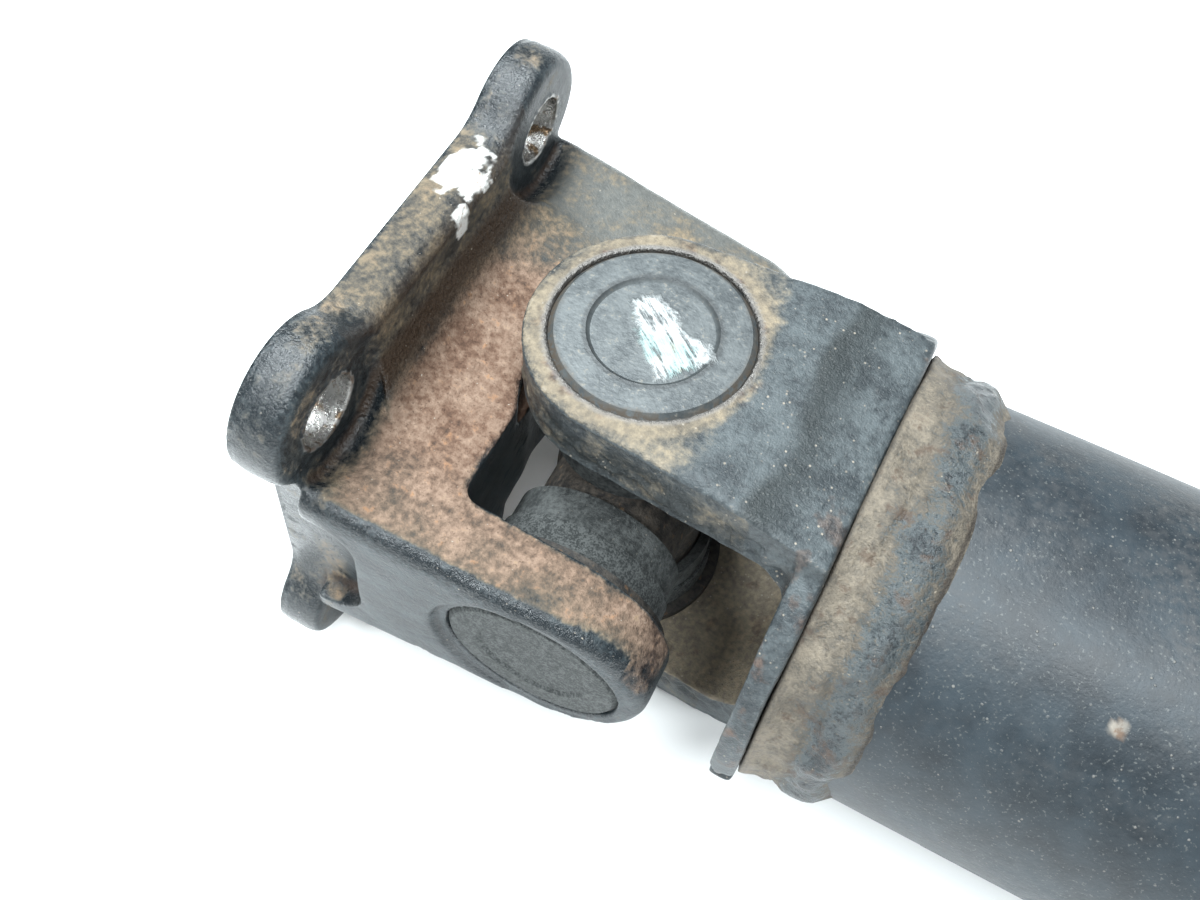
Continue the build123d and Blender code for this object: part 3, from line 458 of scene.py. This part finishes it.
def cup_steel(name, axis, centre, side, painted=False):
    """A bearing cup: dull dark steel, faint turning marks round its axis, dust, and paint on one."""
    k = Look(name)
    middle = k.node("ShaderNodeVectorMath", {0: k.place, 1: centre}, operation="SUBTRACT").outputs[0]
    along = k.dot(middle, axis)
    out = k.node("ShaderNodeVectorMath", {0: axis}, operation="SCALE")
    k.tree.links.new(along, out.inputs["Scale"])
    flat = k.node("ShaderNodeVectorMath", {0: middle, 1: out.outputs[0]}, operation="SUBTRACT").outputs[0]
    radius = k.node("ShaderNodeVectorMath", {0: flat}, operation="LENGTH").outputs["Value"]
    mid, fine, grain = k.noise(6, 5), k.noise(1.0, 5, 0.6), k.noise(0.3, 3)
    face = k.band(along, CAP_FROM, CAP_TO)
    turns = k.sum((radius, TURNING_MARKS), (fine, 1.2))
    marks = k.node("ShaderNodeMath", {0: turns}, operation="SINE").outputs[0]
    shown = k.band(k.sum((mid, 0.6), (fine, 0.5)), 0.40, 0.68)
    colour = k.mix(shown, (0.040, 0.047, 0.050), (0.092, 0.102, 0.104))
    colour = k.mix(k.band(k.sum((fine, 0.7), (grain, 0.4)), 0.62, 0.72), colour, (0.150, 0.142, 0.124))
    # Painted shade: a dark ring on the cap face, standing in for the shaded edge of its dish.
    spread = k.sum((radius, TO_MM), (fine, 0.8), -0.4)
    groove = k.times(k.band(spread, 8.7, 9.2), k.band(spread, 10.2, 9.6))
    colour = k.mix(k.times(groove, 0.55), colour, (0.020, 0.022, 0.023))
    rim = k.band(k.sum((radius, TO_MM), (mid, 3.0)), 14.6, 16.0)
    colour = k.mix(k.times(rim, k.band(fine, 0.35, 0.55)), colour, (0.062, 0.050, 0.038))
    caked = k.band(k.sum((fine, 0.5), (grain, 0.6)), 0.46, 0.66)
    wall = k.mix(caked, (0.028, 0.031, 0.031), (0.098, 0.104, 0.102))
    colour = k.mix(face, wall, colour)
    height = k.sum((fine, 0.8), (k.times(face, marks), 0.03), (grain, 0.5), (k.times(face, grain), -0.3))
    rough = k.sum((fine, 0.25), (mid, 0.12), (rim, 0.2), (face, -0.35), 0.62)
    if painted:
        sideways = k.dot(middle, side)
        length = k.dot(middle, Vector(axis).cross(Vector(side)))
        along_brush = k.node("ShaderNodeMath", {0: length, 1: 0.10}, operation="MULTIPLY").outputs[0]
        hairs = k.node("ShaderNodeCombineXYZ", {"X": sideways, "Y": along_brush}).outputs[0]
        streak, ragged, wander = k.noise(0.75, 4, 0.6, at=hairs), k.noise(1.6, 4, 0.65), k.noise(8, 3)
        middle_line = k.sum((sideways, TO_MM), (wander, 7.0), -4.6)
        off = k.node("ShaderNodeMath", {0: middle_line}, operation="ABSOLUTE").outputs[0]
        end = k.node("ShaderNodeMath", {0: k.sum((length, TO_MM), 0.8)}, operation="ABSOLUTE").outputs[0]
        inside = k.band(k.sum((off, 1.0), (ragged, 3.0), (wander, 3.0), (length, 190.0)), 6.3, 5.3)
        stroke = k.times(inside, k.band(k.sum((end, 1.0), (streak, 4.5), (ragged, 1.5)), 10.2, 9.4))
        stroke = k.times(stroke, k.band(k.sum((streak, 0.7), (ragged, 0.3)), 0.36, 0.50))
        white = k.mix(k.times(k.band(wander, 0.50, 0.60), 0.7), (0.40, 0.42, 0.42), (0.24, 0.37, 0.36))
        white = k.mix(k.times(k.band(k.noise(2.4, 3), 0.58, 0.70), 0.6), white, (0.33, 0.31, 0.24))
        colour = k.mix(k.times(stroke, 0.88), colour, white)
        rough = k.sum((rough, 1.0), (stroke, 0.12))
        height = k.sum((height, 1.0), (stroke, 1.4), (k.times(stroke, streak), 1.4))
    return k.finish(colour, rough, height, 0.09, metallic=0.25, specular=0.5)


def seal_rubber():
    """Matt black rubber, granular with dust and old grease."""
    k = Look("seal_rubber")
    mid, fine = k.noise(4, 5), k.noise(0.7, 5, 0.7)
    caked = k.band(k.sum((mid, 0.5), (fine, 0.6)), 0.42, 0.68)
    colour = k.mix(caked, (0.026, 0.029, 0.029), (0.098, 0.104, 0.102))
    colour = k.mix(k.band(k.noise(0.5, 3), 0.66, 0.74), colour, (0.17, 0.16, 0.14))
    height = k.sum((fine, 1.0), (k.noise(0.35, 3), 0.7))
    return k.finish(colour, k.sum((fine, 0.2), 0.62), height, 0.20, specular=0.3)


def plain_kind(name, dark, light, stain, rough, size, metallic=0.0, depth=0.08):
    """A small hidden or half-hidden part: two tones at its own grain, with stains."""
    k = Look(name)
    mid, fine = k.noise(size * 3, 5), k.noise(size, 5, 0.6)
    colour = k.mix(k.band(k.sum((mid, 0.5), (fine, 0.5)), 0.38, 0.64), dark, light)
    colour = k.mix(k.band(k.noise(size * 2, 4), 0.60, 0.72), colour, stain)
    height = k.sum((fine, 1.0), (k.noise(size * 0.4, 2), 0.5))
    return k.finish(colour, k.sum((fine, 0.2), (mid, 0.1), rough - 0.15), height, depth, metallic=metallic)


LOOKS = {
    "rusty_forging": rusty_forging(),
    "painted_forging": painted_forging(),
    "black_paint": tube_paint(),
    "weld_metal": weld_bead(),
    "bearing_steel": turned_steel("bearing_steel", (0.33, 0.32, 0.31), (0.50, 0.49, 0.47)),
    "spring_steel": plain_kind("spring_steel", (0.016, 0.016, 0.016), (0.062, 0.054, 0.046),
                               (0.10, 0.06, 0.035), 0.7, 0.7, 0.3, 0.2),
    "seal_rubber": seal_rubber(),
    "washer_plastic": plain_kind("washer_plastic", (0.52, 0.48, 0.38), (0.68, 0.64, 0.54),
                                 (0.22, 0.16, 0.09), 0.5, 1.2),
    "pressed_steel": plain_kind("pressed_steel", (0.020, 0.022, 0.026), (0.060, 0.062, 0.066),
                                RUST_BROWN, 0.45, 1.4),
    "seal_felt": plain_kind("seal_felt", (0.11, 0.085, 0.055), (0.22, 0.18, 0.13),
                            (0.04, 0.03, 0.02), 0.95, 0.4, depth=0.3),
    "nipple_steel": plain_kind("nipple_steel", (0.33, 0.30, 0.24), (0.55, 0.52, 0.44),
                               (0.16, 0.12, 0.08), 0.38, 0.9, 0.85),
}
CROSS = plain_kind("cross_forging", (0.022, 0.020, 0.019), (0.105, 0.088, 0.072),
                   (0.15, 0.10, 0.06), 0.70, 1.0, 0.1, 0.25)


# ---------------------------------------------------------------- CAD nodes that stay shown

SLOT_OF = {part["node"]: part["material_slot"] for part in frame["record"]["subparts"]}
PAINTED_CUP = "cup_a_top"
BRUSH_SIDE = (0.62, 0.78, 0)


def look_of_cup(cup):
    """The cup's own material, its marks centred on the trunnion that carries it."""
    at_a = cup.startswith("cup_a")
    home = JOINT_A if at_a else JOINT_B
    level = cup.endswith(("left", "right"))
    turn = home @ Matrix.Rotation(SWING, 4, "Z") if at_a and level else home
    axis = turn.to_3x3() @ Vector((0, 1, 0) if level else (0, 0, 1))
    name = "cup_steel_" + cup.removeprefix("cup_")
    return cup_steel(name, tuple(axis), tuple(home.translation), BRUSH_SIDE, cup == PAINTED_CUP)


for node_name, node in NODES.items():
    node.data.materials.clear()
    if node_name.startswith("cup_"):
        look = look_of_cup(node_name)
    elif node_name.startswith("cross_"):
        look = CROSS
    else:
        look = LOOKS[SLOT_OF[node_name]]
    node.data.materials.append(look)


# ---------------------------------------------------------------- flange yokes

HOLE_AT, HOLE_R = 30.0, 5.5
MATING_X, BACK_X = -45.5, -36.9
CUP_R = 14.5
FLANGE_VOXEL = 0.52


def flange_cut(p):
    """1 on the machined faces of a flange yoke, which stay true."""
    x, y, z = p.T
    hole = np.hypot(abs(y) - HOLE_AT, abs(z) - HOLE_AT)
    walls = (1 - step(hole, HOLE_R + 0.5, HOLE_R + 1.0)) * (x < BACK_X + 0.6)
    face = 1 - step(x, MATING_X + 0.25, MATING_X + 0.7)
    bore = 1 - step(np.hypot(x, z), CUP_R + 0.6, CUP_R + 1.2)
    return np.maximum(np.maximum(walls, face), bore)


def true_holes(p):
    """Points p, those near a bolt hole's wall pulled onto it."""
    y0, z0 = np.sign(p[:, 1]) * HOLE_AT, np.sign(p[:, 2]) * HOLE_AT
    dy, dz = p[:, 1] - y0, p[:, 2] - z0
    r = np.hypot(dy, dz)
    near = (abs(r - HOLE_R) < 0.33) & (p[:, 0] < BACK_X + 0.4)
    scale = np.where(near, HOLE_R / np.maximum(r, 0.1), 1.0)
    p[:, 1], p[:, 2] = y0 + dy * scale, z0 + dz * scale
    return p


def blot(p, centre_x, centre_y, half_x, half_y, spread):
    """A ragged spot of paint, seen along z."""
    ragged = waves(p, 2.2, 71, 3) * 1.5
    away = np.hypot((p[:, 1] - centre_y) / half_y, (p[:, 0] - centre_x) / half_x)
    return step(ragged - away * spread + spread, 0.0, 0.35)


def flange_dress(obj, p, n, daubed):
    """Where daub, bright steel, gloss, caked dirt, grey paint, rust and dust lie on a flange yoke."""
    x, y, z = p.T
    mesh = obj.data
    patch = blot(p, -40.8, 11.0, 4.2, 5.6, 4.0) * (z > 34.5)
    tail = blot(p, -36.8, 4.6, 1.9, 1.7, 3.0) * (z > 31.0)
    worn = step(waves(p, 2.4, 77, 3), -0.70, -0.30)
    note(mesh, "daub", np.maximum(patch, tail) * worn if daubed else np.zeros(len(p)))

    hole = np.hypot(abs(y) - HOLE_AT, abs(z) - HOLE_AT)
    note(mesh, "bare", (hole < HOLE_R + 0.45) * step(x, MATING_X + 1.0, MATING_X + 4.0))

    upright = abs(n[:, 2])
    flat, sloped = step(upright, 0.45, 0.85), step(upright, 0.10, 0.45)
    body = step(x, BACK_X + 1.0, BACK_X + 5.0)
    middle = bell(y, -7.0, 20.0)
    far = step(y + 4.0 * waves(p, 12.0, 79, 2), 8.0, 27.0)
    lobe = step(abs(y), 15.0, 21.0) * (1 - body)
    bar = (1 - lobe) * (1 - body)
    shoulder = step(abs(y), 33.5, 36.5) * (1 - step(upright, 0.90, 0.985)) * body * (x < 13.0)
    round_edge = shoulder * bell(upright, 0.65, 0.35)
    note(mesh, "gloss", np.maximum(round_edge, 0.6 * lobe * (1 - step(n[:, 0], 0.5, 0.9))))
    corner = bell(x, BACK_X + 1.2, 2.2) * (abs(y) < 24)
    note(mesh, "groove", corner * step(upright, 0.05, 0.35) * step(n[:, 0], -0.2, 0.2))
    note(mesh, "grey", far * body * flat)
    rust = sloped * body * (0.45 + 0.55 * middle) * (1 - 0.6 * far) + 0.24 * (1 - body)
    dust = 0.80 * flat * body * (1 - 0.45 * far) + 0.32 * lobe + 0.56 * bar + 0.2 * (1 - flat) * body
    note(mesh, "rust", rust * (1 - shoulder))
    note(mesh, "dust", dust * (1 - shoulder))


for name, node, place, body, seed, daubed in (
        ("flange_a_forging", "flange_yoke_a", FLANGE_A, "flange_a", 3, True),
        ("flange_b_forging", "flange_yoke_b", YOKE_B, "flange_b", 5, False)):
    obj, p, n = forge(name, node, place, FLANGE_VOXEL, flange_cut, seed)
    obj.data.attributes.remove(obj.data.attributes["bare"])
    put_points(obj.data, true_holes(points_of(obj.data)))
    flange_dress(obj, p, n, daubed)
    obj.data.transform(place)
    finish_mesh(obj, body, LOOKS["rusty_forging"], "rusty_forging", node)


# ---------------------------------------------------------------- tube yoke and slip yoke

EAR_INNER, EAR_FACE = 27.0, 38.0
DISC_X0, DISC_R = 31.0, 38.4
TEAR_AT, TEAR_HALF, TEAR_END = 193.0, 6.0, 8.5
TEAR_DEPTH = 4.2


def yoke_cut(p):
    """1 round the cup bores of a shaft-side yoke."""
    radius = np.hypot(p[:, 0], p[:, 1])
    return 1 - step(radius, CUP_R + 0.5, CUP_R + 1.1)


def ear_skin(p, n):
    """Flash line and flaking scale along the ears' sides."""
    x, z = p[:, 0], p[:, 2]
    side = step(1 - abs(n[:, 2]), 0.55, 0.85) * (abs(z) > EAR_INNER - 1) * (x < DISC_X0)
    line = bell(abs(z), 30.2 + 0.7 * waves(p, 7.0, 41), 0.9)
    scale = waves(p, 2.1, 43, 3)
    low = 1 - step(abs(z), 31.0, 34.0)
    return -side * (0.30 * (1 - line) + low * 0.75 * step(scale, -0.5, 0.9))


def tear(p):
    """Points p with a ragged bite taken out of the disc's rim, on its -Y side."""
    y, z = p[:, 1], p[:, 2]
    angle = np.degrees(np.arctan2(z, y)) % 360
    r = np.hypot(y, z)
    off = abs(angle - TEAR_AT - 3 * waves(p, 3.0, 47, 2))
    bite = (1 - step(off, TEAR_HALF, TEAR_END)) * (p[:, 0] > DISC_X0 - 1)
    target = DISC_R - TEAR_DEPTH + 1.1 * waves(p, 2.0, 48, 2)
    scale = np.where(r > target, 1 + bite * (target / np.maximum(r, 1.0) - 1) * 0.85, 1.0)
    return p * np.stack((np.ones(len(p)), scale, scale), 1)


def yoke_dress(obj, p, n):
    """Where dirt and rust lie, round the caps, inside the fork and along the rim, and where shade is painted
    onto the ears' rear band and lower sides.
    """
    x, y, z = p.T
    mesh = obj.data
    radius = np.hypot(x, y)
    top = step(abs(z), EAR_FACE - 2.6, EAR_FACE - 0.8) * step(abs(n[:, 2]), 0.4, 0.7)
    ring_dust = bell(radius, CUP_R + 0.8, 2.0) * top
    ahead = 1 - step(x + 3.0 * waves(p, 8.0, 83, 2), 10.0, 19.0)
    rear_edge = step(x, 30.0, 34.0) * step(y, 4.0, 16.0) * top
    inside = (abs(z) < EAR_INNER + 0.5) * step(n[:, 2], 0.2, 0.7) * (x < DISC_X0 - 0.5)
    side = step(1 - abs(n[:, 2]), 0.4, 0.8) * (x < 24) * (abs(z) > EAR_INNER)
    low_side = side * (1 - step(abs(z) + 1.2 * waves(p, 5.0, 89, 2), 32.5, 35.0))
    note(mesh, "dirt", 0.34 * ring_dust + 0.40 * top * ahead + 0.40 * rear_edge + 0.90 * inside + 0.34 * side)
    # Painted shade: the ears' rear band and lower sides get a darker paint, as if turned away from the light.
    rear = top * step(x + 1.5 * waves(p, 9.0, 87), 21.5, 24.0) * (1 - 0.6 * rear_edge)
    note(mesh, "shade", np.maximum(rear, 0.8 * low_side))
    rim = step(np.hypot(y, z), DISC_R - 2.5, DISC_R - 1.0) * (x > DISC_X0 - 0.5)
    rim = rim * (0.4 + 0.6 * bell(z, 14.0, 16.0))
    round_cap = bell(radius, CUP_R + 0.6, 1.4) * top
    note(mesh, "rust", np.maximum(np.maximum(round_cap, 0.8 * rim), 0.4 * inside))


for name, node, place, body, voxel, seed, torn in (
        ("tube_yoke_forging", "tube_yoke", YOKE_A, "tube_shaft", 0.50, 21, True),
        ("slip_yoke_forging", "slip_yoke", YOKE_B, "slip_end", 0.60, 23, False)):
    obj, p, n = forge(name, node, place, voxel, yoke_cut, seed, ear_skin)
    yoke_dress(obj, p, n)
    if torn:
        put_points(obj.data, tear(points_of(obj.data)))
    obj.data.transform(place)
    finish_mesh(obj, body, LOOKS["painted_forging"], "painted_forging", node)


# ---------------------------------------------------------------- welds and tube

TUBE_R, TUBE_INNER_R = 33.0, 30.5
BEAD_STEPS, BEAD_AROUND = 56, 720
TUBE_STEPS, TUBE_AROUND = 230, 360
LINING_STEPS = 12


def bead(name, node, x0, x1, crown, seed, ripple):
    """A weld bead: fat and uneven, with faint ripples and an undercut where it meets the tube."""
    t = np.linspace(0, 1, BEAD_STEPS)
    fall = 1 - step(t, 0.66, 0.97)
    rise = step(t, -0.01, 0.02)
    radius = TUBE_R + (crown - TUBE_R) * (0.55 + 0.45 * rise) * fall - 0.5 * step(t, 0.84, 1.0)
    outer = np.stack((x0 + (x1 - x0) * t, radius), 1)
    inner = np.stack((np.linspace(x1 - 0.2, x0 + 0.2, 5), np.full(5, TUBE_R - 0.8)), 1)
    profile = np.concatenate((outer, inner))

    def wobble(p, x, angle):
        share = np.clip((x - x0) / (x1 - x0), 0, 1)
        outside = np.hypot(p[:, 1], p[:, 2]) > TUBE_R - 0.6
        body = step(share, 0.02, 0.2) * (1 - step(share, 0.86, 1.0)) * outside
        lumps = 0.95 * waves(p, 8.0, seed, 2) + 0.34 * waves(p, 3.0, seed + 3, 3)
        fan = np.sin(angle * ripple + 2.0 * share + 2.5 * waves(p, 9.0, seed + 7))
        fan = fan * step(waves(p, 13.0, seed + 9), -0.2, 0.6)
        groove = 0.5 * bell(share, 0.40 + 0.10 * waves(p, 16.0, seed + 13), 0.05)
        return body * np.minimum(lumps - 0.75 + 0.03 * fan - groove, 0.0)

    obj, p = ring(name, profile, BEAD_AROUND, wobble)
    mesh = obj.data
    far = relax(mesh, p, 12, np.full(len(p), 0.6))
    bulge = np.einsum("ij,ij->i", p - far, normals_of(mesh))
    share = np.clip((p[:, 0] - x0) / (x1 - x0), 0, 1)
    valleys = np.maximum(step(-bulge, 0.04, 0.22), bell(share, 0.90, 0.03)) * (share > 0.06)
    note(mesh, "nook", valleys + 0.8 * bell(p[:, 0], x0 + 0.2, 0.35))
    note(mesh, "tan", 1 - bell(share, 0.60 + 0.08 * waves(p, 22.0, seed + 17), 0.22))
    mesh.transform(YOKE_A)
    return finish_mesh(obj, "tube_shaft", LOOKS["weld_metal"], "weld_metal", node)


bead("front_weld_bead", "front_weld", 35.15, 50.5, 35.9, 51, 60)
bead("rear_weld_bead", "rear_weld", 199.0, 210.0, 35.0, 57, 90)


def chipped(p):
    """1 where paint has come off the tube."""
    return step(waves(p, 4.6, 67, 3), 0.86, 0.95) * step(waves(p, 21.0, 69), 0.1, 0.5)


def tube_skin():
    """The tube, with its faint dents and the places where paint has chipped off."""
    low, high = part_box("tube")
    x0, x1 = (low.x - CENTRE_A.x) / MM, (high.x - CENTRE_A.x) / MM
    outer = np.stack((np.linspace(x0, x1, TUBE_STEPS), np.full(TUBE_STEPS, TUBE_R)), 1)
    inner = np.stack((np.linspace(x1, x0, LINING_STEPS), np.full(LINING_STEPS, TUBE_INNER_R)), 1)
    profile = np.concatenate((outer, inner))

    def wobble(p, x, angle):
        skin = 0.10 * (waves(p, 34.0, 61, 2) - 1.2)
        return (skin - 0.10 * chipped(p)) * (np.hypot(p[:, 1], p[:, 2]) > TUBE_R - 1)

    obj, p = ring("tube_skin", profile, TUBE_AROUND, wobble)
    note(obj.data, "chip", chipped(p))
    obj.data.transform(YOKE_A)
    return finish_mesh(obj, "tube_shaft", LOOKS["black_paint"], "black_paint", "tube")


tube_skin()


# ---------------------------------------------------------------- floor, light and camera

low, high = FIRST_BOUNDS
FLOOR_HALF, FLOOR_GAP = 6, 0.0005
corners = [(-FLOOR_HALF, -FLOOR_HALF, 0), (FLOOR_HALF, -FLOOR_HALF, 0),
           (FLOOR_HALF, FLOOR_HALF, 0), (-FLOOR_HALF, FLOOR_HALF, 0)]
floor_mesh = bpy.data.meshes.new("floor")
floor_mesh.from_pydata(corners, [], [(0, 1, 2, 3)])
floor = bpy.data.objects.new("floor", floor_mesh)
floor.location = (0, 0, low.z - FLOOR_GAP)
COLLECTION.objects.link(floor)
paper = Look("floor_paper")
white = paper.mix(paper.noise(90, 3), (0.90, 0.90, 0.89), (0.93, 0.93, 0.92))
floor_mesh.materials.append(paper.finish(white, 0.9, paper.noise(2, 3), 0.01, specular=0.1))

LAMP_TARGET = Vector((-0.37, 0, 0))
LAMP_COLOUR = (0.90, 0.97, 1.0)
SKY_COLOUR, SKY_STRENGTH = (0.92, 0.97, 1.0, 1), 0.36


def lamp(name, place, size, power):
    """A round lamp of the given width in metres and power in watts, turned towards the joint."""
    data = bpy.data.lights.new(name, "AREA")
    data.shape = "DISK"
    data.size = size
    data.energy = power
    data.color = LAMP_COLOUR
    obj = bpy.data.objects.new(name, data)
    obj.location = place
    obj.rotation_mode = "QUATERNION"
    obj.rotation_quaternion = (LAMP_TARGET - Vector(place)).to_track_quat("-Z", "Y")
    COLLECTION.objects.link(obj)


lamp("key", (-0.75, 0.25, 1.15), 0.55, 29)
lamp("fill", (-0.05, -0.35, 1.20), 0.45, 15)
lamp("glint", (-0.62, -0.65, 0.95), 0.22, 9)

world = bpy.data.worlds.new("studio")
world.use_nodes = True
sky = world.node_tree.nodes["Background"]
sky.inputs["Color"].default_value = SKY_COLOUR
sky.inputs["Strength"].default_value = SKY_STRENGTH
bpy.context.scene.world = world
bpy.context.scene.view_settings.view_transform = "Standard"

# The camera's three axes, where it stands and its lens, fitted to the photo.
RIGHT = Vector((0.8791, 0.4762, 0.0222))
UP = -Vector((0.4175, -0.7466, -0.5179))
BACK = -Vector((-0.2301, 0.4646, -0.8551))
STANDS_AT = Vector((-0.35481, -0.08689, 0.16015))
SENSOR_WIDTH, LENS = 36.0, 33.52

view_data = bpy.data.cameras.new("camera")
view_data.sensor_width = SENSOR_WIDTH
view_data.lens = LENS
view_data.clip_start = 0.01
camera = bpy.data.objects.new("camera", view_data)
camera.matrix_world = Matrix((
    (RIGHT.x, UP.x, BACK.x, STANDS_AT.x),
    (RIGHT.y, UP.y, BACK.y, STANDS_AT.y),
    (RIGHT.z, UP.z, BACK.z, STANDS_AT.z),
    (0, 0, 0, 1)))
COLLECTION.objects.link(camera)
bpy.context.scene.camera = camera
